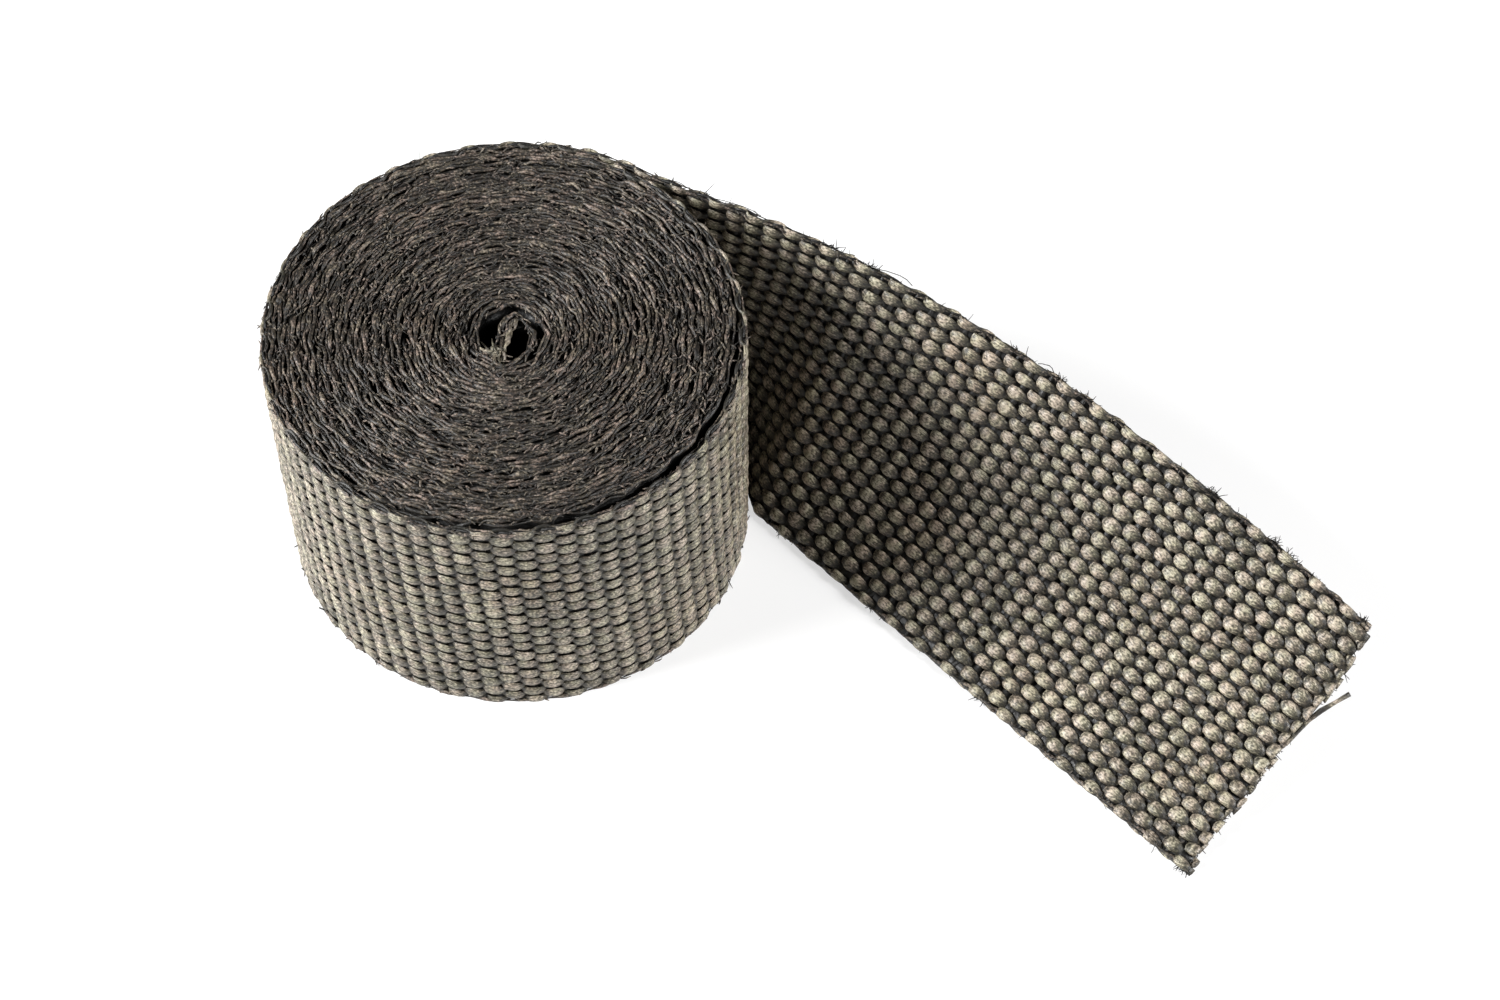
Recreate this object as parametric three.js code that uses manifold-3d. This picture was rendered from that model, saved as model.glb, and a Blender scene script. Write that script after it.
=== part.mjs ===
import * as THREE from "three";
import { mergeVertices } from "three/addons/utils/BufferGeometryUtils.js";
import Module from "manifold-3d";

const wasm = await Module();
wasm.setup();

const degree = Math.PI / 180;
const fullTurn = 2 * Math.PI;

// The woven tape, in millimetres
const tapeWidth = 50;
const tapeThickness = 1.5;

// The roll, which stands on its end with its axis on Z
const rollRadius = 40.2;
const boreRadius = 3.8;
const foldThickness = 2.2;
const turnPitch = 1.5;
const edgeDepth = 0.6;
const stepsPerTurn = 32;

// The loose end: azimuths and headings in degrees, anticlockwise from +X seen from above
const looseLength = 140.4;
const peelAzimuth = 60;
const footLeavesAzimuth = 4;
const footBendRadius = 9;
const footHeading = -45.2;
const rootSweep = 12;
const seatDepth = 0.3;

// The loose end's rim: it leaves the roll level and comes down to the cut, leaning back from the foot
const rimLeaveShare = 0.17;
const rimArriveShare = 0.64;
const rimHeadingAtCut = -42.2;
const rimDescentAtCut = 12.7;
const leanAtCut = 22.5;
const leanAzimuthAtCut = 51;
const hollowDepth = 3;
const hollowStart = 0.25;

// Steps of the loose end's surface
const rootSteps = 2;
const looseSteps = 34;
const widthSteps = 6;

const tapeMaterial = new THREE.MeshStandardMaterial({ color: 0x3f3b36, roughness: 0.85, metalness: 0 });

function solidOf(geometry) {
  const merged = mergeVertices(geometry, 1e-5);
  const corners = merged.index.array;
  const triangles = [];
  for (let first = 0; first < corners.length; first += 3) {
    const [a, b, c] = corners.slice(first, first + 3);
    if (a !== b && b !== c && c !== a) {
      triangles.push(a, b, c);
    }
  }
  const vertProperties = new Float32Array(merged.attributes.position.array);
  return new wasm.Manifold(new wasm.Mesh({ numProp: 3, vertProperties, triVerts: new Uint32Array(triangles) }));
}

function geometryOf(solid) {
  const mesh = solid.getMesh();
  const geometry = new THREE.BufferGeometry();
  geometry.setAttribute("position", new THREE.BufferAttribute(new Float32Array(mesh.vertProperties), 3));
  geometry.setIndex(new THREE.BufferAttribute(new Uint32Array(mesh.triVerts), 1));
  geometry.computeVertexNormals();
  return geometry;
}

// The faces between closed rings that all have the same number of points
function sideTriangles(rings) {
  const sides = rings[0].length;
  const indices = [];
  for (let row = 1; row < rings.length; row++) {
    for (let side = 0; side < sides; side++) {
      const before = (row - 1) * sides + side;
      const beside = (row - 1) * sides + ((side + 1) % sides);
      indices.push(before, beside, beside + sides, before, beside + sides, before + sides);
    }
  }
  return indices;
}

// The face of one ring whose first half runs back beside its second half
function capTriangles(first, sides) {
  const indices = [];
  for (let near = 0, far = sides - 1; near + 1 < far; near++, far--) {
    indices.push(first + near, first + near + 1, first + far);
    indices.push(first + near + 1, first + far - 1, first + far);
  }
  return indices;
}

function bodyOf(rings, indices) {
  const geometry = new THREE.BufferGeometry().setFromPoints(rings.flat());
  geometry.setIndex(indices);
  return solidOf(geometry);
}

function aroundAxis(radius, azimuth, height) {
  return new THREE.Vector3(radius * Math.cos(azimuth), radius * Math.sin(azimuth), height);
}

// One half section of the roll, in radius and height, after a share of a turn clockwise from the peel.
// Each turn has a rounded edge at both ends, and the turn against the bore starts there from nothing.
function rollSection(share) {
  const turnCount = Math.round((rollRadius - boreRadius) / turnPitch);
  const pitch = (rollRadius - boreRadius) / turnCount;
  const valleys = [boreRadius];
  for (let turn = 0; turn < turnCount; turn++) {
    valleys.push(boreRadius + pitch * (turn + share));
  }
  const foot = [new THREE.Vector2(boreRadius, edgeDepth)];
  for (let turn = 1; turn < valleys.length; turn++) {
    const width = valleys[turn] - valleys[turn - 1];
    const rise = edgeDepth * (width / pitch);
    foot.push(new THREE.Vector2(valleys[turn - 1] + width / 2, edgeDepth - rise));
    foot.push(new THREE.Vector2(valleys[turn], edgeDepth));
  }
  const rim = foot.map((point) => new THREE.Vector2(point.x, tapeWidth - point.y));
  return [...foot, ...rim.reverse()];
}

// The wound turns: one body whose outer face and whose end faces follow the winding
function woundTurns() {
  const rings = [];
  for (let step = 0; step <= stepsPerTurn; step++) {
    const share = step / stepsPerTurn;
    const azimuth = (peelAzimuth * degree) - share * fullTurn;
    rings.push(rollSection(share).map((point) => aroundAxis(point.x, azimuth, point.y)));
  }
  const sides = rings[0].length;
  const outerTurn = rings.slice(0, -1).flat().length + sides / 2 - 3;
  return bodyOf(rings, [...sideTriangles(rings), ...capTriangles(outerTurn, 6)]);
}

// The tape's inner end, folded across the bore
function innerFold() {
  const span = 2 * boreRadius + tapeThickness;
  const box = new THREE.BoxGeometry(foldThickness, span, tapeWidth);
  box.deleteAttribute("normal");
  box.deleteAttribute("uv");
  box.translate(0, 0, tapeWidth / 2);
  return solidOf(box);
}

// The line that the foot of the loose end follows on the floor
function footPath() {
  const seatRadius = rollRadius - turnPitch - seatDepth;
  const leaves = footLeavesAzimuth * degree;
  const heading = footHeading * degree;
  const path = new THREE.Path();
  path.absarc(0, 0, seatRadius, peelAzimuth * degree, leaves, true);
  const bendCentre = aroundAxis(seatRadius + footBendRadius, leaves, 0);
  path.absarc(bendCentre.x, bendCentre.y, footBendRadius, leaves + Math.PI, heading + 1.5 * Math.PI, false);
  const straight = looseLength - path.getLength();
  const bendEnd = path.currentPoint;
  path.lineTo(bendEnd.x + straight * Math.cos(heading), bendEnd.y + straight * Math.sin(heading));
  return path;
}

// The line that the rim of the loose end follows above the foot
function rimCurve(foot) {
  const start = foot.getPointAt(0);
  const end = foot.getPointAt(1);
  const leave = aroundAxis(rimLeaveShare * looseLength, (peelAzimuth - 90) * degree, 0);
  const reach = aroundAxis(Math.cos(leanAtCut * degree), leanAzimuthAtCut * degree, Math.sin(leanAtCut * degree));
  const descent = -Math.sin(rimDescentAtCut * degree);
  const arrive = aroundAxis(Math.cos(rimDescentAtCut * degree), rimHeadingAtCut * degree, descent);
  const rimStart = new THREE.Vector3(start.x, start.y, tapeWidth);
  const rimEnd = new THREE.Vector3(end.x, end.y, 0).addScaledVector(reach, tapeWidth);
  const beforeEnd = rimEnd.clone().addScaledVector(arrive, -rimArriveShare * looseLength);
  return new THREE.CubicBezierCurve3(rimStart, rimStart.clone().add(leave), beforeEnd, rimEnd);
}

// One ring of the loose end, between its foot and its rim: up its outer face and back down its inner face
function tapeRing(foot, rim, outward, hollow) {
  const inner = [];
  const outer = [];
  const chord = rim.clone().sub(foot);
  const along = new THREE.Vector3().crossVectors(outward, new THREE.Vector3(0, 0, 1));
  const away = new THREE.Vector3().crossVectors(chord, along).normalize();
  const normalAt = (share) => {
    const slope = chord.clone().addScaledVector(away, 4 * hollow * (1 - 2 * share));
    return slope.cross(along).normalize();
  };
  const lift = -tapeThickness * normalAt(0).z;
  for (let row = 0; row <= widthSteps; row++) {
    const share = row / widthSteps;
    const point = foot.clone().addScaledVector(chord, share);
    point.addScaledVector(away, 4 * hollow * share * (1 - share));
    point.z += lift * (1 - share);
    inner.unshift(point);
    outer.push(point.clone().addScaledVector(normalAt(share), tapeThickness));
  }
  return [...outer, ...inner];
}

// The loose end: its root lies inside the outer turn, and its rim leaves the roll before its foot
function looseEnd() {
  const rings = [];
  for (let step = 0; step < rootSteps; step++) {
    const azimuth = (peelAzimuth + rootSweep * (1 - step / rootSteps)) * degree;
    const foot = aroundAxis(rollRadius - turnPitch - seatDepth, azimuth, 0);
    const rim = new THREE.Vector3(foot.x, foot.y, tapeWidth);
    rings.push(tapeRing(foot, rim, aroundAxis(1, azimuth, 0), 0));
  }
  const path = footPath();
  const curve = rimCurve(path);
  for (let step = 0; step <= looseSteps; step++) {
    const share = step / looseSteps;
    const point = path.getPointAt(share);
    const foot = new THREE.Vector3(point.x, point.y, 0);
    const rim = curve.getPointAt(share);
    const lean = rim.clone().sub(foot).setZ(0);
    const tangent = path.getTangentAt(share);
    const square = new THREE.Vector3(-tangent.y, tangent.x, 0);
    const outward = lean.length() > tapeThickness ? lean.normalize() : square;
    const hollow = hollowDepth * THREE.MathUtils.smoothstep(share, 0, hollowStart);
    rings.push(tapeRing(foot, rim, outward, hollow));
  }
  const sides = rings[0].length;
  const startCap = capTriangles(0, sides).reverse();
  const endCap = capTriangles((rings.length - 1) * sides, sides);
  return bodyOf(rings, [...sideTriangles(rings), ...startCap, ...endCap]);
}

const wound = woundTurns().add(innerFold()).add(looseEnd());
const tape = new THREE.Mesh(geometryOf(wound), tapeMaterial);
tape.name = "wrap_tape";

const heatWrap = new THREE.Group();
heatWrap.add(tape);

export default heatWrap;
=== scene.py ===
import math

import bmesh
import bpy
import numpy as np
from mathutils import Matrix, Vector


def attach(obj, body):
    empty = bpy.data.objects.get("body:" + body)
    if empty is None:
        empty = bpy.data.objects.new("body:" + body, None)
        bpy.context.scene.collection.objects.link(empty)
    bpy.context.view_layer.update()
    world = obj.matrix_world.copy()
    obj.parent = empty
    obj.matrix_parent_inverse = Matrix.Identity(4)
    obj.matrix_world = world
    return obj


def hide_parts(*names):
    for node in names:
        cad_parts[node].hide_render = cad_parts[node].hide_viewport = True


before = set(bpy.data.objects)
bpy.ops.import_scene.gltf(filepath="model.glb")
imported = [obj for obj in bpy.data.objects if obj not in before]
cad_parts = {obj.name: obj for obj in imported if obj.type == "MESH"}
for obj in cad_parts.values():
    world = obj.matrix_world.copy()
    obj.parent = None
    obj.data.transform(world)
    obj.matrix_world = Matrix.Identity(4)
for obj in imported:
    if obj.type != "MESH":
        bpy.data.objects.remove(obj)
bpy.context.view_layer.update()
print("frame loaded")

mm = 0.001  # shapes are worked out in millimetres and turned to metres when a mesh is filled

# Camera

camera = {
    "place": (38.82, -311.43, 456.19),
    "tilt": 34.46,  # degrees up from looking straight down
    "lens": 76.8,
    "sensor": 36.0,
}


def addCamera():
    data = bpy.data.cameras.new("studio_camera")
    data.lens = camera["lens"]
    data.sensor_width = camera["sensor"]
    holder = bpy.data.objects.new("studio_camera", data)
    holder.location = Vector(camera["place"]) * mm
    holder.rotation_euler = (math.radians(camera["tilt"]), 0, 0)
    bpy.context.scene.collection.objects.link(holder)
    bpy.context.scene.camera = holder


addCamera()
print("camera placed")

# The way the tape lies, from its cut end in to its folded inner end

tape = {
    "width": 50.0,
    "thickness": 1.5,
    "looseLength": 140.4,
    "peelAzimuth": 60.0,
    "footLeavesAzimuth": 4.0,
    "footBendRadius": 9.0,
    "footHeading": -45.2,
    "innerFace": 38.5,  # radius of the tape's inner face where the loose end peels away
    "turnPitch": 1.5,
    "rimLeaveShare": 0.17,
    "rimArriveShare": 0.64,
    "rimHeadingAtCut": -42.2,
    "rimDescentAtCut": 12.7,
    "leanAtCut": 22.5,
    "leanAzimuthAtCut": 51.0,
    "hollowDepth": 3.0,
    "hollowStart": 0.25,
    "tightestTurn": 3.5,  # radius of the innermost turn's inner face
    "boreGap": 0.6,  # the innermost turn stands clear of the next
    "boreGapFrom": 1.1,  # turns before the inner end where that gap starts to open
    "boreGapOver": 0.5,
    "boreReach": 6.0,  # how far out from the innermost turn its shift and stretch are felt
    "boreShift": (-0.2, -0.9),  # the innermost turns sit a little off the axis
    "boreStretch": (0.0, 0.22),
    "slack": 0.9,  # how far the turns under the outer one draw in, at the front right
    "slackAzimuth": -32.0,
    "slackSpread": 0.7,
    "slackFrom": 0.75,  # in turns from the peel
    "slackTo": 6.0,
    "dip": 0.9,  # how far the outer turn's rim stands below the others, at the front
    "dipAzimuth": -52.0,
    "foldAzimuth": 68.0,  # where the innermost turn ends and the fold across the bore starts
    "foldPoints": [
        (1.1, 2.9), (0.6, 1.9), (0.0, 0.2), (-0.4, -1.6), (-0.6, -3.0), (-1.4, -4.2), (-3.0, -4.7),
    ],
    "spacing": 0.5,  # between the stations along the tape
}


def flat(degrees):
    turned = np.radians(degrees)
    return np.stack([np.cos(turned), np.sin(turned), np.zeros_like(turned)], -1)


def unit(vectors):
    return vectors / np.maximum(np.linalg.norm(vectors, axis=-1, keepdims=True), 1e-9)


def evenly(points, distances):
    steps = np.linalg.norm(np.diff(points, axis=0), axis=1)
    travelled = np.concatenate([[0], np.cumsum(steps)])
    return np.stack([np.interp(distances, travelled, points[:, axis]) for axis in range(3)], -1)


def lengthOf(points):
    return float(np.linalg.norm(np.diff(points, axis=0), axis=1).sum())


def looseFoot(distances):
    hug = flat(np.linspace(tape["peelAzimuth"], tape["footLeavesAzimuth"], 120)) * tape["innerFace"]
    centre = flat(tape["footLeavesAzimuth"]) * (tape["innerFace"] + tape["footBendRadius"])
    turned = np.linspace(tape["footLeavesAzimuth"] + 180, tape["footHeading"] + 270, 60)
    bend = centre + flat(turned) * tape["footBendRadius"]
    run = bend[-1] + flat(tape["footHeading"]) * np.linspace(0, tape["looseLength"], 60)[:, None]
    return evenly(np.concatenate([hug, bend[1:], run[1:]]), distances)


def looseRim(foot):
    lean = math.radians(tape["leanAtCut"])
    descent = math.radians(tape["rimDescentAtCut"])
    start = foot[0] + [0, 0, tape["width"]]
    reach = flat(tape["leanAzimuthAtCut"]) * math.cos(lean) + [0, 0, math.sin(lean)]
    end = foot[-1] + reach * tape["width"]
    leave = flat(tape["peelAzimuth"] - 90) * tape["rimLeaveShare"] * tape["looseLength"]
    heading = flat(tape["rimHeadingAtCut"]) * math.cos(descent) - [0, 0, math.sin(descent)]
    arrive = heading * tape["rimArriveShare"] * tape["looseLength"]
    share = np.linspace(0, 1, 300)[:, None]
    rest = 1 - share
    curve = rest**3 * start + 3 * rest**2 * share * (start + leave)
    curve = curve + 3 * rest * share**2 * (end - arrive) + share**3 * end
    return evenly(curve, np.linspace(0, lengthOf(curve), len(foot)))


def looseStations():
    distances = np.arange(0, tape["looseLength"] + tape["spacing"] / 2, tape["spacing"])
    foot = looseFoot(distances)
    rim = looseRim(foot)
    leaning = (rim - foot) * [1, 1, 0]
    tangent = np.gradient(foot, axis=0)
    square = unit(np.stack([-tangent[:, 1], tangent[:, 0], 0 * tangent[:, 0]], -1))
    leans = np.linalg.norm(leaning, axis=1, keepdims=True) > tape["thickness"]
    outward = np.where(leans, unit(leaning), square)
    risen = np.clip(distances / (tape["hollowStart"] * tape["looseLength"]), 0, 1)
    hollow = tape["hollowDepth"] * risen**2 * (3 - 2 * risen)
    return foot, rim - foot, outward, hollow


turnLength = 2 * math.pi * (tape["innerFace"] + tape["thickness"] / 2)


def woundStations():
    turns = (tape["innerFace"] - tape["boreGap"] - tape["tightestTurn"]) / tape["turnPitch"]
    turn = np.linspace(0, turns, int(turns * 360))
    azimuth = tape["peelAzimuth"] + 360 * turn
    ending = np.clip((turn - turns + tape["boreGapFrom"]) / tape["boreGapOver"], 0, 1)
    radius = tape["innerFace"] - tape["turnPitch"] * turn - tape["boreGap"] * ending
    facing = np.cos(np.radians((azimuth - tape["slackAzimuth"]) % 360)).clip(0, 1) ** tape["slackSpread"]
    under = np.clip((turn - tape["slackFrom"]) * 4, 0, 1) * np.clip((tape["slackTo"] - turn) / 5, 0, 1)
    radius = radius - tape["slack"] * facing * under
    spiral = flat(azimuth) * radius[:, None]
    last = azimuth[-1] % 360
    foldStart = tape["foldAzimuth"] + 360 * (last > tape["foldAzimuth"])
    closing = flat(np.linspace(last, foldStart, 60)) * tape["tightestTurn"]
    spiral = np.concatenate([spiral, closing[1:]])
    beyond = np.linalg.norm(spiral, axis=1) - tape["tightestTurn"]
    inward = np.clip(1 - beyond / tape["boreReach"], 0, 1)[:, None]
    spiral = spiral * (1 + inward * [*tape["boreStretch"], 0])
    spiral = spiral + inward * [*tape["boreShift"], 0]
    fold = np.array([(x, y, 0) for x, y in tape["foldPoints"]])
    route = np.concatenate([spiral, fold])
    distances = np.arange(tape["spacing"], lengthOf(route), tape["spacing"])
    inner = evenly(route, distances)
    tangent = np.gradient(inner, axis=0)
    outward = unit(np.stack([tangent[:, 1], -tangent[:, 0], 0 * tangent[:, 0]], -1))
    bearing = np.degrees(np.arctan2(inner[:, 1], inner[:, 0]))
    dip = np.cos(np.radians(bearing - tape["dipAzimuth"])).clip(0, 1) ** 2
    dip = dip * tape["dip"] * (distances < turnLength)
    upright = np.stack([0 * dip, 0 * dip, tape["width"] - dip], -1)
    return inner, upright, outward, np.zeros(len(inner))


def allStations():
    loose = looseStations()
    wound = woundStations()
    foot, chord, outward, hollow = (np.concatenate([a[::-1], b]) for a, b in zip(loose, wound))
    along = np.cross(outward, [0, 0, 1])
    away = unit(np.cross(chord, along))
    footNormal = unit(np.cross(chord + away * 4 * hollow[:, None], along))
    lift = -tape["thickness"] * footNormal[:, 2]
    return np.concatenate([foot, chord, away, along, hollow[:, None], lift[:, None]], 1)


stations = allStations()
tapeLength = (len(stations) - 1) * tape["spacing"]
outerLength = tape["looseLength"] + turnLength * 1.01  # the loose end and the outer turn


# A point at a distance from the cut, a share of the width from the foot and a depth from the tape's middle
def onTape(distance, share, depth):
    distance, share, depth = np.broadcast_arrays(distance, share, depth)
    row = np.clip(distance / tape["spacing"], 0, len(stations) - 1.001)
    low = row.astype(int)
    part = (row - low)[..., None]
    values = stations[low] * (1 - part) + stations[low + 1] * part
    foot, chord, away, along = (values[..., i : i + 3] for i in (0, 3, 6, 9))
    hollow, lift = values[..., 12:13], values[..., 13:14]
    share = share[..., None]
    point = foot + chord * share + away * 4 * hollow * share * (1 - share)
    point = point + lift * (1 - share) * [0, 0, 1]
    normal = unit(np.cross(chord + away * 4 * hollow * (1 - 2 * share), along))
    past = np.minimum(distance, 0)[..., None] * unit(stations[0, 0:3] - stations[2, 0:3])
    return point + normal * (tape["thickness"] / 2 + depth[..., None]) - past, normal


print("tape laid out:", round(tapeLength), "mm")

# Yarns as closed strips of a grid, rolled up along their paths

gridCache = {}


def stripGrid(rows, sides):
    if (rows, sides) not in gridCache:
        bm = bmesh.new()
        bmesh.ops.create_grid(bm, x_segments=rows - 1, y_segments=sides, size=1)
        mesh = bpy.data.meshes.new("strip")
        bm.to_mesh(mesh)
        bm.free()
        corners = np.empty(len(mesh.vertices) * 3)
        mesh.vertices.foreach_get("co", corners)
        corners = corners.reshape(-1, 3)
        row = np.rint((corners[:, 0] + 1) / 2 * (rows - 1)).astype(int)
        side = np.rint((corners[:, 1] + 1) / 2 * sides).astype(int)
        gridCache[(rows, sides)] = mesh, row, side
    return gridCache[(rows, sides)]


def strand(points, normals, wide, thick, tint=0.5, relief=1.0):
    points = np.asarray(points, float)
    given = (wide, thick, tint, relief)
    wide, thick, tint, relief = (np.broadcast_to(v, len(points)).astype(float) for v in given)
    ends = [0, *range(len(points)), len(points) - 1]  # a row of no size closes each end
    shut = np.ones(len(ends))
    shut[[0, -1]] = 0
    return {
        "points": points[ends],
        "normals": np.asarray(normals, float)[ends],
        "wide": wide[ends] * shut,
        "thick": thick[ends] * shut,
        "tint": tint[ends],
        "relief": relief[ends],
    }


def rolledUp(one, row, side, sides, squareness):
    points = one["points"]
    tangent = np.gradient(points[1:-1], axis=0)
    tangent = unit(np.concatenate([tangent[:1], tangent, tangent[-1:]]))
    across = unit(np.cross(tangent, one["normals"]))
    normal = np.cross(across, tangent)
    turned = 2 * np.pi * side / sides
    sideways = np.sign(np.cos(turned)) * np.abs(np.cos(turned)) ** squareness
    upwards = np.sign(np.sin(turned)) * np.abs(np.sin(turned)) ** squareness
    offset = across[row] * (one["wide"][row] * sideways)[:, None]
    offset = offset + normal[row] * (one["thick"][row] * upwards)[:, None]
    return points[row] + offset


def strandPiece(name, strands, sides, material, squareness=1.0):
    bm = bmesh.new()
    places, tints, paintedLightAndTones, lengths, rounds = [], [], [], [], []
    for one in strands:
        mesh, row, side = stripGrid(len(one["points"]), sides)
        bm.from_mesh(mesh)
        places.append(rolledUp(one, row, side, sides, squareness))
        steps = np.linalg.norm(np.diff(one["points"], axis=0), axis=1)
        travelled = np.concatenate([[0], np.cumsum(steps)])
        lengths.append(travelled[row])
        rounds.append(side / sides)
        tints.append(one["tint"][row])
        paintedLightAndTones.append(one["relief"][row])
    mesh = bpy.data.meshes.new(name)
    bm.to_mesh(mesh)
    bm.free()
    places = np.concatenate(places)
    places[:, 2] = np.maximum(places[:, 2], 0.0)  # nothing reaches below the floor
    mesh.vertices.foreach_set("co", (places * mm).ravel())
    addUv(mesh, np.concatenate(lengths) * 0.1, np.concatenate(rounds))
    addNumber(mesh, "strandTint", np.concatenate(tints))
    # each point's place on the colour ramp: painted light and shade on crests and in gaps, and plain tone
    # elsewhere
    addNumber(mesh, "relief", np.concatenate(paintedLightAndTones))
    closeSeams(mesh)
    return addPiece(name, mesh, material)


def addUv(mesh, along, around):
    corner = np.empty(len(mesh.loops), int)
    mesh.loops.foreach_get("vertex_index", corner)
    layer = mesh.uv_layers.new(name="yarn")
    layer.data.foreach_set("uv", np.stack([along[corner], around[corner]], -1).ravel())


def addNumber(mesh, name, values):
    attribute = mesh.attributes.new(name, "FLOAT", "POINT")
    attribute.data.foreach_set("value", values.astype(np.float32))


def closeSeams(mesh):
    bm = bmesh.new()
    bm.from_mesh(mesh)
    bmesh.ops.remove_doubles(bm, verts=bm.verts, dist=2e-6)
    bmesh.ops.recalc_face_normals(bm, faces=bm.faces)
    bm.to_mesh(mesh)
    bm.free()
    mesh.polygons.foreach_set("use_smooth", np.ones(len(mesh.polygons), bool))


def addPiece(name, mesh, material):
    piece = bpy.data.objects.new(name, mesh)
    bpy.context.scene.collection.objects.link(piece)
    mesh.materials.append(material)
    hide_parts("wrap_tape")
    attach(piece, "root")
    return piece


# Shader maths


class Value:
    def __init__(self, tree, socket):
        self.tree = tree
        self.socket = socket

    def maths(self, operation, *others):
        return self.tree.add("ShaderNodeMath", {"operation": operation}, [self, *others])

    def __add__(self, other):
        return self.maths("ADD", other)

    __radd__ = __add__

    def __mul__(self, other):
        return self.maths("MULTIPLY", other)

    __rmul__ = __mul__

    def __sub__(self, other):
        return self.maths("SUBTRACT", other)

    def __rsub__(self, other):
        return (self * -1) + other

    def clamped(self):
        return self.maths("MINIMUM", 1.0).maths("MAXIMUM", 0.0)


class Tree:
    def __init__(self, name):
        self.material = bpy.data.materials.new(name)
        self.material.use_nodes = True
        self.nodes = self.material.node_tree.nodes
        self.links = self.material.node_tree.links
        self.shader = self.nodes["Principled BSDF"]

    def add(self, kind, settings, sockets, output=0):
        node = self.nodes.new(kind)
        for key, value in settings.items():
            if key == "stops":
                self.setStops(node, value)
            else:
                setattr(node, key, value)
        pairs = sockets.items() if isinstance(sockets, dict) else enumerate(sockets)
        for key, value in pairs:
            self.feed(node.inputs[key], value)
        return Value(self, node.outputs[output])

    def setStops(self, node, stops):
        ramp = node.color_ramp
        while len(ramp.elements) < len(stops):
            ramp.elements.new(0.5)
        for element, (place, colour) in zip(ramp.elements, stops):
            element.position = place
            element.color = (*colour, 1)

    def feed(self, socket, value):
        if isinstance(value, Value):
            self.links.new(value.socket, socket)
        else:
            socket.default_value = value

    def noise(self, vector, scale, detail):
        sockets = {"Vector": vector, "Scale": scale, "Detail": detail}
        return self.add("ShaderNodeTexNoise", {}, sockets, "Fac")

    def ramp(self, value, stops):
        return self.add("ShaderNodeValToRGB", {"stops": stops}, [value])

    def mix(self, share, first, second, blend="MIX"):
        settings = {"data_type": "RGBA", "blend_type": blend}
        return self.add("ShaderNodeMix", settings, {0: share, 6: first, 7: second}, 2)


yarnLook = {
    # valley, shade and crest run from painted shade in the gaps up to painted light on the crests
    "paintedValleyShade": (0.008, 0.007, 0.005),
    "shade": (0.078, 0.067, 0.048),
    "crest": (0.50, 0.438, 0.345),
    "brown": (0.115, 0.085, 0.062),
    "greenish": (0.95, 1.0, 0.93),
    "purplish": (1.0, 0.955, 0.97),
    "roughness": 0.5,
    "bumpStrength": 0.55,
    "bumpDistance": 0.0002,
    "filamentScale": 3.0,
    "patchScale": 45.0,
    "blotchScale": 900.0,
    "hueScale": 420.0,
    "grainScale": 2600.0,
}


def yarnMaterial(name, shade, grit):
    tree = Tree(name)
    yarn = tree.add("ShaderNodeUVMap", {"uv_map": "yarn"}, [])
    place = tree.add("ShaderNodeTexCoord", {}, [], "Object")
    tint = tree.add("ShaderNodeAttribute", {"attribute_name": "strandTint"}, [], "Fac")
    relief = tree.add("ShaderNodeAttribute", {"attribute_name": "relief"}, [], "Fac")
    stretched = tree.add("ShaderNodeMapping", {}, {"Vector": yarn, "Scale": (6.0, 7.0, 1.0)})
    filaments = tree.noise(stretched, yarnLook["filamentScale"], 3.0)
    patches = tree.noise(place, yarnLook["patchScale"], 2.0)
    blotches = tree.noise(place, yarnLook["blotchScale"], 2.0)
    hues = tree.noise(place, yarnLook["hueScale"], 1.0)
    grain = tree.noise(place, yarnLook["grainScale"], 1.0)
    strands = (filaments - 0.5) * 1.7 + (tint - 0.5) * 0.4 + (patches - 0.5) * 0.4
    # painted light: crests are painted lighter and the gaps between yarns darker, with the strands' own tone
    # on top
    height = (relief * 0.75 + strands + (grain - 0.5) * grit - 0.12).clamped()
    stops = [(0.0, yarnLook["paintedValleyShade"]), (0.45, yarnLook["shade"]), (1.0, yarnLook["crest"])]
    grey = tree.ramp(height, stops)
    rust = ((patches - 0.5) * 5.0 + (blotches - 0.5) * 2.0).clamped() * 0.5
    warm = tree.mix(rust, grey, (*yarnLook["brown"], 1), "SOFT_LIGHT")
    hue = ((hues - 0.5) * 4.0 + 0.5).clamped()
    cast = tree.mix(hue, (*yarnLook["greenish"], 1), (*yarnLook["purplish"], 1))
    colour = tree.mix(1.0, tree.mix(1.0, warm, cast, "MULTIPLY"), (*shade, 1), "MULTIPLY")
    tree.feed(tree.shader.inputs["Base Color"], colour)
    roughness = (filaments * -0.35 + (yarnLook["roughness"] + 0.15)).clamped()
    tree.feed(tree.shader.inputs["Roughness"], roughness)
    bump = {"Strength": yarnLook["bumpStrength"], "Distance": yarnLook["bumpDistance"]}
    bump["Height"] = filaments + blotches * 0.6
    tree.feed(tree.shader.inputs["Normal"], tree.add("ShaderNodeBump", {}, bump))
    tree.feed(tree.shader.inputs["Specular IOR Level"], 0.5)
    return tree.material


bodyYarn = yarnMaterial("graphite_yarn", (1.0, 1.0, 1.0), 0.7)
# a darker copy of the yarn with a slight hue: painted shade of the end faces' deep gaps, also used for the
# cut weft ends and stray fibres
edgeYarn = yarnMaterial("edge_yarn", (0.50, 0.455, 0.47), 1.9)
# a shaded copy of the yarn: painted shade for the weft, the ground layer and the inner turns, which show
# only in the gaps
shadedYarn = yarnMaterial("inner_yarn_painted_shade", (0.10, 0.09, 0.08), 0.7)
print("materials made")

# The woven part: the loose end and the outer turn

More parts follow.
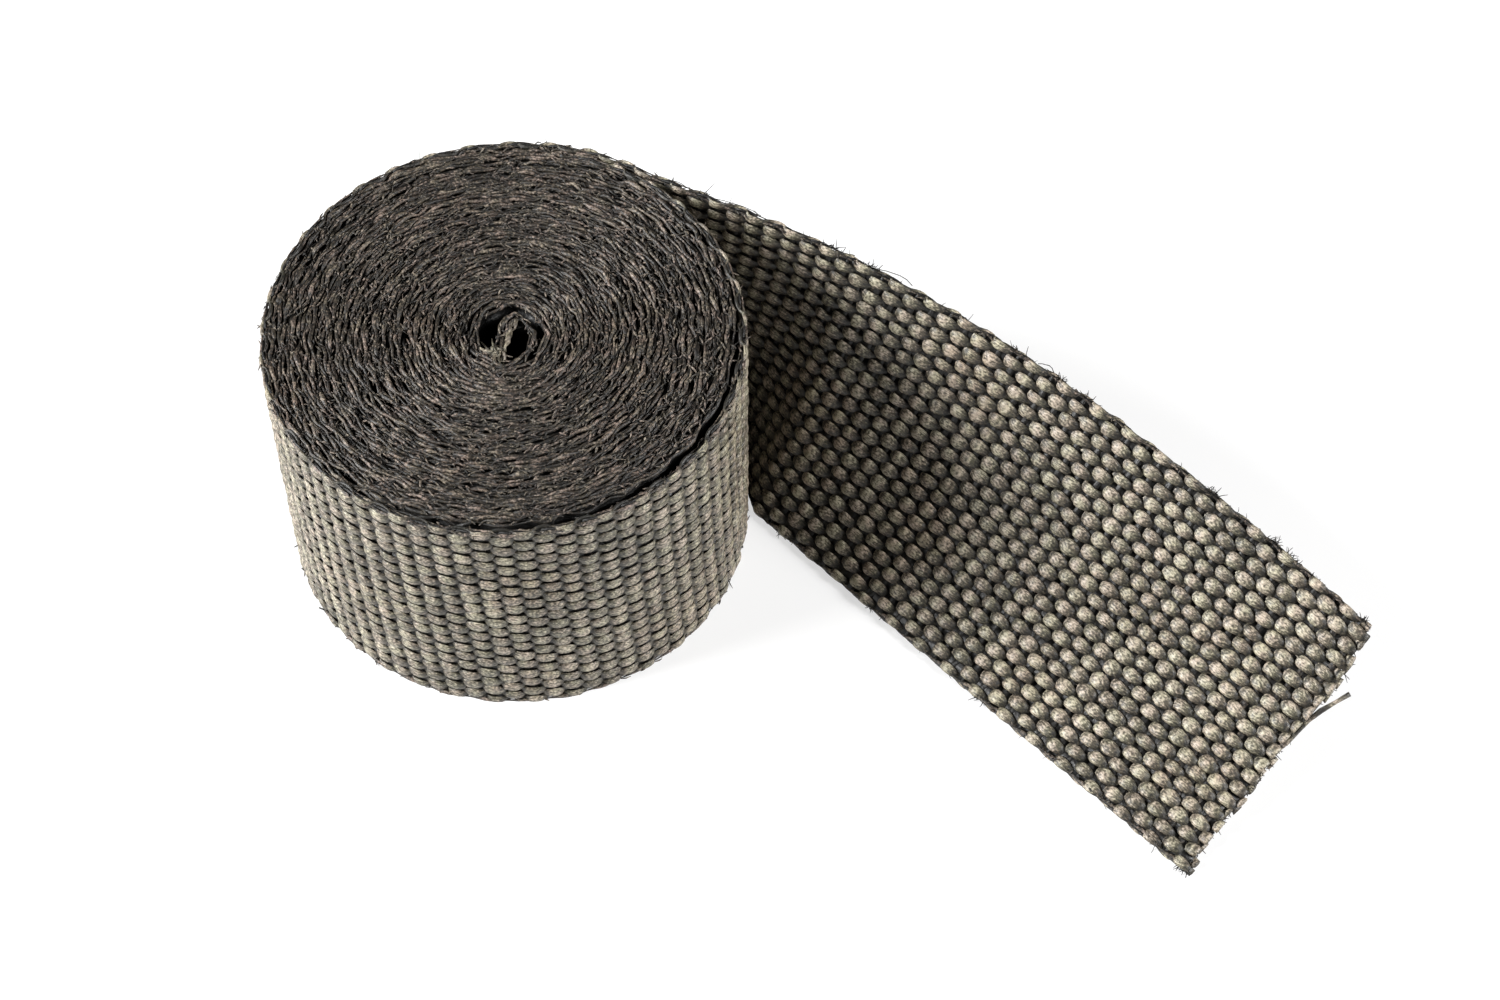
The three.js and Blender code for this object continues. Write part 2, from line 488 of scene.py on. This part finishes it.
weave = {
    "pickSpacing": 3.2,
    "looseSkew": 0.17,  # how far a weft pick runs aslant, per millimetre of width
    "woundSkew": 0.055,
    "cutLine": [(0.0, 0.2), (0.14, 1.0), (0.39, 0.0), (0.57, -0.1), (0.83, -1.6), (1.0, -1.0)],
    "looseLean": -0.45,  # on the loose end the crests lean toward the roll
    "warpCount": 36,
    "rowsPerPick": 5,
    "sides": 8,
    "edgeMargin": 0.5,
    "lift": 0.48,  # how far a warp yarn's crest stands from the middle of the tape
    "crestHalfWidth": 1.14,
    "crossingHalfWidth": 0.70,
    "woundCrossingShade": 0.30,  # how light the painted shade at the crossings on the roll is
    "woundTwist": -0.12,  # and each crest there lies a little aslant
    "halfThickness": 0.36,
    "ragged": (-0.55, 0.35),  # how far a warp yarn ends before or past the cut
    "swell": 0.09,  # how unlike each other the crests are in width, place and height
    "drift": 0.12,
    "heave": 0.05,
    "leanFrom": 150.0,  # distances from the cut at which the loose end's weave turns into the roll's
    "leanOver": 30.0,
    "woundFrom": 140.0,
    "woundOver": 20.0,
    "skewFrom": 110.0,
    "skewOver": 60.0,
    "seed": 11,
}
chance = np.random.default_rng(weave["seed"])


def warpShare(index):
    usable = tape["width"] - 2 * weave["edgeMargin"]
    return (weave["edgeMargin"] + usable * index / (weave["warpCount"] - 1)) / tape["width"]


def skewAt(distance):
    share = np.clip((distance - weave["skewFrom"]) / weave["skewOver"], 0, 1)
    return weave["looseSkew"] + (weave["woundSkew"] - weave["looseSkew"]) * share


def aslant(distance, share):  # how far along the tape a pick has moved at this share of the width
    return skewAt(distance) * tape["width"] * (0.625 - 1.5 * share + 0.5 * share**2)


def cutAt(share):  # the cut is not quite straight
    return np.interp(share, *np.array(weave["cutLine"]).T)


def smoothly(values, pick):
    low = np.floor(pick).astype(int)
    part = pick - low
    part = part * part * (3 - 2 * part)
    return values[low] * (1 - part) + values[low + 1] * part


def warpYarn(index, length):
    place = warpShare(index)
    rows = int(length / weave["pickSpacing"] * weave["rowsPerPick"])
    distance = np.linspace(cutAt(place) + chance.uniform(*weave["ragged"]), length, rows)
    wound = np.clip((distance - weave["woundFrom"]) / weave["woundOver"], 0, 1)
    pick = (distance - aslant(distance, place)) / weave["pickSpacing"]
    phase = np.pi * (pick + index)
    lean = weave["looseLean"] * np.clip((weave["leanFrom"] - distance) / weave["leanOver"], 0, 1)
    wave = np.cos(phase - lean * np.cos(phase))  # 1 on the outer face and -1 on the inner face
    crest = np.abs(wave) ** 0.5
    pick = pick + 4
    count = int(pick[-1]) + 3
    swell = smoothly(chance.normal(1, weave["swell"], count), pick)
    drift = smoothly(chance.normal(0, weave["drift"], count), pick)
    heave = smoothly(chance.normal(0, weave["heave"], count), pick)
    edge = min(index, weave["warpCount"] - 1 - index)
    narrow = 0.8 if edge == 0 else 1.0
    wide = weave["crossingHalfWidth"] + (weave["crestHalfWidth"] - weave["crossingHalfWidth"]) * crest
    depth = np.sign(wave) * np.abs(wave) ** 0.45 * weave["lift"] + heave
    twist = weave["woundTwist"] * wound * np.sin(phase)
    share = place + (drift + twist) / tape["width"] * (0.3 if edge < 2 else 1)
    points, normals = onTape(distance, share, depth)
    worn = 0.55 + 0.25 * np.clip((place - 0.78) / 0.12, 0, 1)
    thick = weave["halfThickness"] * (worn + (1 - worn) * crest)
    tint = smoothly(chance.uniform(0.2, 0.8, count), pick) * 0.85 + chance.random() * 0.15
    return strand(points, normals, wide * swell * narrow, thick, tint, warpPaintedLight(wave, phase, crest, wound))


def warpPaintedLight(wave, phase, crest, wound):  # painted light and shade on each place of a warp yarn
    crossingShade = weave["woundCrossingShade"]
    # painted highlight: the loose end's crests are lighter overall, and lighter at one end, as light from
    # the left falls
    loosePaintedLight = 1.04 * crest - 0.17 * np.sin(phase)
    # painted shade on the roll: darker at the crossings and darkest on the dipping yarn under each crest
    woundPaintedLight = np.where(wave > 0, crossingShade + (0.93 - crossingShade) * crest, crossingShade * (1 - crest))
    return loosePaintedLight * (1 - wound) + woundPaintedLight * wound


def addWarp():
    for parity, name in enumerate(("warp_yarns_even", "warp_yarns_odd")):
        picked = range(parity, weave["warpCount"], 2)
        strands = [warpYarn(index, outerLength) for index in picked]
        strandPiece(name, strands, weave["sides"], bodyYarn)


addWarp()
print("warp woven")

weft = {
    "rowsPerPick": 24,
    "sides": 5,
    "halfWidth": 0.75,
    "turnHalfWidth": 0.3,
    "halfThickness": 0.24,
    "clearOfCut": 1.7,
    "firstWhole": 4,  # the cut runs across the picks before this one, so each of them is a yarn of its own
}
ground = {
    "spacing": 2.0,
    "halfWidth": 2.1,
    "halfThickness": 0.12,
}


def weftPath(first, last):
    distances, shares, depths = [], [], []
    across = np.linspace(0.0, 1.0, weft["rowsPerPick"])
    for pick in range(first, last):
        forward = across if pick % 2 == 0 else across[::-1]
        distances.append(np.full(len(forward), pick * weave["pickSpacing"]))
        shares.append(forward)
        depths.append(np.zeros(len(forward)))
        distances.append((pick + np.array([0.25, 0.5, 0.75])) * weave["pickSpacing"])
        shares.append(np.full(3, forward[-1]))
        depths.append(np.array([0.1, 0.2, 0.1]) * (-1) ** pick)
    distances, shares, depths = (np.concatenate(part) for part in (distances, shares, depths))
    return distances + aslant(distances, shares), shares, depths


def weftYarn(first, last):
    distances, shares, depths = weftPath(first, last)
    kept = (distances > cutAt(shares) + weft["clearOfCut"]) & (distances < outerLength)
    distances, shares, depths = distances[kept], shares[kept], depths[kept]
    points, normals = onTape(distances, shares, depths)
    inside = np.clip(np.minimum(shares, 1 - shares) / 0.03, 0, 1)
    wide = weft["turnHalfWidth"] + (weft["halfWidth"] - weft["turnHalfWidth"]) * inside
    return strand(points, normals, wide, weft["halfThickness"], 0.4, 0.35)


def addWeft():
    last = int(outerLength / weave["pickSpacing"]) + 1
    yarns = [weftYarn(pick, pick + 1) for pick in range(-1, weft["firstWhole"])]
    strandPiece("weft_ends", yarns, weft["sides"], edgeYarn)
    strandPiece("weft_yarn", [weftYarn(weft["firstWhole"], last)], weft["sides"], shadedYarn)


def addGround():  # a thin layer in the middle that closes the holes between yarns, painted dark as the shade seen through them
    distances = np.arange(1.0, outerLength, ground["spacing"])
    strands = []
    for share in np.arange(0.04, 0.97, 0.0765):
        points, normals = onTape(distances, share, 0.0)
        strands.append(strand(points, normals, ground["halfWidth"], ground["halfThickness"], 0.3, 0.0))
    strandPiece("tape_ground_painted_shade", strands, 4, shadedYarn, 0.4)


addWeft()
addGround()
print("weft woven")

# The wound turns inside the outer one, and their edges on both end faces

inner = {
    "rowSpacing": 2.4,
    "halfThickness": 0.62,
    "edgeGap": 0.9,  # from the tape's edge down to the body under the edge strands
    "lanes": (-0.5, 0.0, 0.5),
    "edgeRowSpacing": 1.03,
    "edgeSides": 5,
    "edgeHalfWidth": 0.30,
    "selvageLanes": (-0.35, 0.35),
    "streaks": 6800,
    "streakLength": (0.5, 1.6),
    "streakHalfWidth": (0.08, 0.24),
    "seed": 23,
}
foldFray = {
    "root": (-1.4, -4.5),
    "headings": (140, 300),
    "reach": (0.9, 3.4),
    "yarns": 56,
    "radius": (0.12, 0.28),
    "height": (48.9, 50.5),
    "lanes": (-1.4, -1.05, -0.75),
    "laneEnds": (9.5, 2.0),  # measured back from the tape's inner end
}
edgeChance = np.random.default_rng(inner["seed"])


def wavering(distances, size, spacing):
    count = int((distances[-1] - distances[0]) / spacing) + 3
    return smoothly(edgeChance.normal(0, size, count), (distances - distances[0]) / spacing)


def edgeShare(rim, inset):
    return 1 - inset / tape["width"] if rim else inset / tape["width"]


def addInnerTurns():
    distances = np.arange(outerLength - 3, tapeLength, inner["rowSpacing"])
    half = tape["width"] / 2 - inner["edgeGap"]
    points, normals = onTape(distances, 0.5, 0.0)
    # painted shade: a dark slab under the edge strands, seen only through the gaps between them
    body = strand(points, np.tile([0, 0, 1.0], (len(points), 1)), inner["halfThickness"], half, 0.3, 0.1)
    strandPiece("inner_turns", [body], 8, shadedYarn, 0.35)


def selvageStrand(rim, lane):
    distances = np.arange(float(cutAt(1.0 if rim else 0.0)), outerLength, inner["edgeRowSpacing"])
    wave = np.cos(np.pi * distances / weave["pickSpacing"] + (0 if lane > 0 else np.pi))
    depth = lane + 0.1 * wave + wavering(distances, 0.06, 2.0)
    inset = 0.22 + 0.16 * wave + wavering(distances, 0.1, 2.1)
    points, normals = onTape(distances, edgeShare(rim, inset), depth)
    wide = inner["edgeHalfWidth"] * (0.8 + 0.4 * wave + wavering(distances, 0.12, 2.5))
    tint = np.clip(0.5 + wavering(distances, 0.3, 3.0), 0, 1)
    # painted light and shade: the strand is lighter and darker in step with the weave
    return strand(points, normals, wide, wide * 0.85, tint, 0.7 + 0.3 * wave)


def edgeStrand(rim, lane):
    distances = np.arange(outerLength - 6, tapeLength - 0.5, inner["edgeRowSpacing"])
    count = int(distances[-1] / weave["pickSpacing"]) + 3
    wave = np.cos(np.pi * distances / weave["pickSpacing"] + edgeChance.random() * 6)
    depth = lane + 0.18 * wave + wavering(distances, 0.17, 1.5)
    inset = 0.36 + 0.16 * wave * (1 if lane else -1) + wavering(distances, 0.24, 1.6)
    inset = np.maximum(inset + wavering(distances, 0.16, 30.0), 0.02)
    points, normals = onTape(distances, edgeShare(rim, inset), depth)
    swell = smoothly(edgeChance.normal(1, 0.22, count), distances / weave["pickSpacing"])
    wide = inner["edgeHalfWidth"] * swell * (1.05 + 0.25 * wave)
    # painted shade: strands set deeper into the edge are darker
    relief = np.clip(0.8 - inset, 0.05, 1)
    tint = np.clip(0.5 + wavering(distances, 0.5, 1.4), 0, 1)
    return strand(points, normals, wide, wide * 0.9, tint, relief)


def edgeStreak(rim):  # a short piece of loosened yarn lying along the edge
    start = edgeChance.random() ** 0.8 * (tapeLength - 4)
    length = edgeChance.uniform(*inner["streakLength"])
    distances = start + np.linspace(0, length, 3)
    depth = edgeChance.uniform(-0.75, 0.75) + np.linspace(-1, 1, 3) * edgeChance.normal(0, 0.34)
    inset = edgeChance.normal(0.04, 0.14) + np.array([0.25, 0, 0.25]) * edgeChance.uniform(0.4, 1.6)
    points, normals = onTape(distances, edgeShare(rim, inset), depth)
    wide = np.array([0.6, 1, 0.5]) * edgeChance.uniform(*inner["streakHalfWidth"])
    return strand(points, normals, wide, wide * 0.8, edgeChance.random(), edgeChance.uniform(0.35, 1.0))


def addEdges():
    for rim, name in ((True, "rim_edge"), (False, "foot_edge")):
        strands = [edgeStrand(rim, lane) for lane in inner["lanes"]]
        strandPiece(f"{name}_strands", strands, inner["edgeSides"], edgeYarn)
        selvage = [selvageStrand(rim, lane) for lane in inner["selvageLanes"]]
        strandPiece(f"{name}_selvage", selvage, inner["edgeSides"], edgeYarn)
        streaks = [edgeStreak(rim) for _ in range(inner["streaks"])]
        strandPiece(f"{name}_streaks", streaks, 4, edgeYarn)


def foldLane(lane):  # the tape is doubled where it crosses the bore
    first, last = (tapeLength - end for end in foldFray["laneEnds"])
    distances = np.arange(first, last, 0.6)
    inset = 0.45 + edgeChance.normal(0, 0.16, len(distances))
    depth = lane + edgeChance.normal(0, 0.1, len(distances))
    points, normals = onTape(distances, 1 - inset / tape["width"], depth)
    wide = edgeChance.uniform(0.2, 0.42, len(distances))
    return strand(points, normals, wide, wide, edgeChance.uniform(0.2, 1, len(distances)), 0.75)


def foldYarn():  # the tape's inner end frays out over the front of the bore
    heading = edgeChance.uniform(*foldFray["headings"])
    steps = np.linspace(0, 1, 6)[:, None]
    bend = edgeChance.normal(0, 1.1, 3)
    points = np.array([*foldFray["root"], edgeChance.uniform(*foldFray["height"])])
    points = points + edgeChance.normal(0, 0.5, 3) * [1, 1, 0]
    points = points + flat(heading) * steps * edgeChance.uniform(*foldFray["reach"]) * [1, 0.7, 1]
    points = points + bend * steps**2 - [0, 0, 0.5] * steps**3
    points[:, 2] = np.minimum(points[:, 2], foldFray["height"][1])
    wide = edgeChance.uniform(*foldFray["radius"]) * np.array([0.8, 1, 1, 0.9, 0.8, 0.4])
    upward = np.tile([0, 0, 1.0], (6, 1))
    return strand(points, upward, wide, wide * 0.8, edgeChance.uniform(0.0, 0.8), 0.75)


def addFoldFray():
    strands = [foldYarn() for _ in range(foldFray["yarns"])]
    strands += [foldLane(lane) for lane in foldFray["lanes"]]
    strandPiece("fold_fray", strands, 6, bodyYarn)


addInnerTurns()
addEdges()
addFoldFray()
print("inner turns wound")

# Loose fibres

stray = {
    # tufts on the rim and on the foot edge, by their distances from the cut end
    "rimTufts": [0.5, 105.5, 98.5, 70.5, 63.0, 57.0, 31.5, 19.5, 15.5, 10.0, 128.0],
    "footTufts": [92.5, 72.0, 46.0, 1.0],
    "hairsInTuft": 18,
    "edgeHairs": 260,
    "faceHairs": 420,
    "cutHairs": 190,
    "lengths": {"tuft": (0.4, 1.3), "edge": (0.3, 1.0), "face": (0.6, 2.0), "cut": (0.3, 0.9)},
    "radii": {"tuft": 0.09, "edge": 0.06, "face": 0.05, "cut": 0.1, "lying": 0.08},
    "lyingHairs": [(0.3, 118.0, 8.0), (0.4, 91.0, 6.0), (0.2, 64.0, 3.0), (0.2, 131.0, 4.0)],
    "thread": [
        (0.6, 0.50), (0.0, 0.54), (-0.4, 0.59), (-0.9, 0.64), (-1.7, 0.69), (-2.9, 0.74), (-4.1, 0.79),
    ],
    "threadRadius": 0.48,
    "seed": 5,
}
hairChance = np.random.default_rng(stray["seed"])


def hair(kind, distance, share, depth, spread):
    length = hairChance.uniform(*stray["lengths"][kind])
    thickness = stray["radii"][kind]
    start, normal = onTape(distance, share, depth)
    ahead, _ = onTape(distance + 0.5, share, depth)
    across, _ = onTape(distance, min(share + 0.01, 1.0), depth)
    before, _ = onTape(distance, min(share + 0.01, 1.0) - 0.01, depth)
    directions = np.stack([unit(ahead - start), unit(across - before), normal])
    aim = unit(np.array(spread) @ directions)
    bend = hairChance.normal(0, 0.8, 3)
    steps = np.linspace(0, 1, 6)[:, None]
    points = start + length * (aim * steps + bend * steps**2 * 0.6)
    points[:, 2] = np.maximum(points[:, 2], thickness)
    taper = np.array([1, 1, 0.95, 0.85, 0.7, 0.45]) * thickness
    side = unit(np.cross(points[-1] - points[0], [0.3, 0.2, 1.0]))
    return strand(points, np.tile(side, (6, 1)), taper, taper, hairChance.random(), 0.2)


def tuftHair(place, share):
    spread = hairChance.normal(0, 0.8, 3) + [0, 0.9 * (2 * share - 1), 0]
    distance = max(place + hairChance.normal(0, 0.7), 0.2)
    return hair("tuft", distance, share, 0.2, spread)


def lyingHair(rise, start, length):  # a longer fibre that lies along the rim
    distances = start + np.linspace(0, length, 6)
    beyond = rise + np.array([0.3, 0.8, 0.9, 0.7, 0.5, 0.1])
    points, normals = onTape(distances, 1 + beyond / tape["width"], 0.0)
    return strand(points, normals, stray["radii"]["lying"], stray["radii"]["lying"], 0.3, 0.1)


def edgeHair():
    share = float(hairChance.random() < 0.6)
    spread = hairChance.normal(0, 0.7, 3) + [0, 0.8 * (2 * share - 1), 0]
    distance = hairChance.uniform(0.5, outerLength)
    return hair("edge", distance, share, 0.3, spread)


def faceHair():
    distance = outerLength + hairChance.random() * (tapeLength - outerLength - 2)
    spread = hairChance.normal(0, 1, 3) * [1, 0.4, 1]
    return hair("face", distance, 0.998, 0.0, spread)


def cutHair():
    spread = hairChance.normal(0, 0.9, 3) + [-0.9, 0, 0]
    share = hairChance.random()
    distance = cutAt(share) + hairChance.uniform(0, 0.8)
    return hair("cut", distance, share, 0.0, spread)


def addHairs():
    strands = []
    for share, tufts in ((1.0, stray["rimTufts"]), (0.0, stray["footTufts"])):
        for place in tufts:
            strands += [tuftHair(place, share) for _ in range(stray["hairsInTuft"])]
    strands += [lyingHair(*placed) for placed in stray["lyingHairs"]]
    strands += [edgeHair() for _ in range(stray["edgeHairs"])]
    strands += [faceHair() for _ in range(stray["faceHairs"])]
    strands += [cutHair() for _ in range(stray["cutHairs"])]
    strandPiece("stray_fibres", strands, 3, edgeYarn)


def addThread():
    distances, shares = np.array(stray["thread"]).T
    points, normals = onTape(distances, shares, 0.3)
    thin = stray["threadRadius"] * np.array([1, 1, 0.9, 0.8, 1.0, 0.7, 0.9])
    banded = np.array([0.4, 0.9, 0.2, 0.8, 0.1, 0.9, 0.3])
    strandPiece("loose_thread", [strand(points, normals, thin, thin, banded, banded)], 6, bodyYarn)


addHairs()
addThread()
print("loose fibres laid")

# Studio: a white floor and soft light from the left and the right

studio = {
    "floorSize": 3.0,
    "floorColour": (0.4, 0.4, 0.4, 1),
    "floorGlow": 0.6,  # a white table lit from below
    "worldStrength": 0.03,
    "lampAim": (0.04, 0, 0.02),
    "lamps": [
        {"place": (-0.785, -0.138, 0.517), "size": 0.5, "power": 26.0},
        {"place": (0.832, -0.223, 0.40), "size": 0.4, "power": 13.5},
    ],
}


def addFloor():
    bm = bmesh.new()
    bmesh.ops.create_grid(bm, x_segments=1, y_segments=1, size=studio["floorSize"] / 2)
    mesh = bpy.data.meshes.new("studio_floor")
    bm.to_mesh(mesh)
    bm.free()
    floor = bpy.data.objects.new("studio_floor", mesh)
    bpy.context.scene.collection.objects.link(floor)
    tree = Tree("studio_floor")
    tree.feed(tree.shader.inputs["Base Color"], studio["floorColour"])
    tree.feed(tree.shader.inputs["Roughness"], 0.9)
    tree.feed(tree.shader.inputs["Emission Color"], (1, 1, 1, 1))
    tree.feed(tree.shader.inputs["Emission Strength"], studio["floorGlow"])
    mesh.materials.append(tree.material)


def addLamp(index, lamp):
    data = bpy.data.lights.new(f"studio_lamp_{index}", "AREA")
    data.shape = "DISK"
    data.size = lamp["size"]
    data.energy = lamp["power"]
    holder = bpy.data.objects.new(data.name, data)
    holder.location = lamp["place"]
    aim = Vector(studio["lampAim"]) - Vector(lamp["place"])
    holder.rotation_euler = aim.to_track_quat("-Z", "Y").to_euler()
    bpy.context.scene.collection.objects.link(holder)


def addWorld():
    world = bpy.data.worlds.new("studio_world")
    world.use_nodes = True
    background = world.node_tree.nodes["Background"]
    background.inputs["Color"].default_value = (1, 1, 1, 1)
    background.inputs["Strength"].default_value = studio["worldStrength"]
    bpy.context.scene.world = world


addFloor()
for index, lamp in enumerate(studio["lamps"]):
    addLamp(index, lamp)
addWorld()
bpy.context.scene.view_settings.view_transform = "Standard"
print("studio lit")

pieces = [o for o in bpy.context.scene.objects if o.type == "MESH" and o.name != "studio_floor"]
for piece in pieces:
    print(piece.name, len(piece.data.loops) - 2 * len(piece.data.polygons), "triangles")
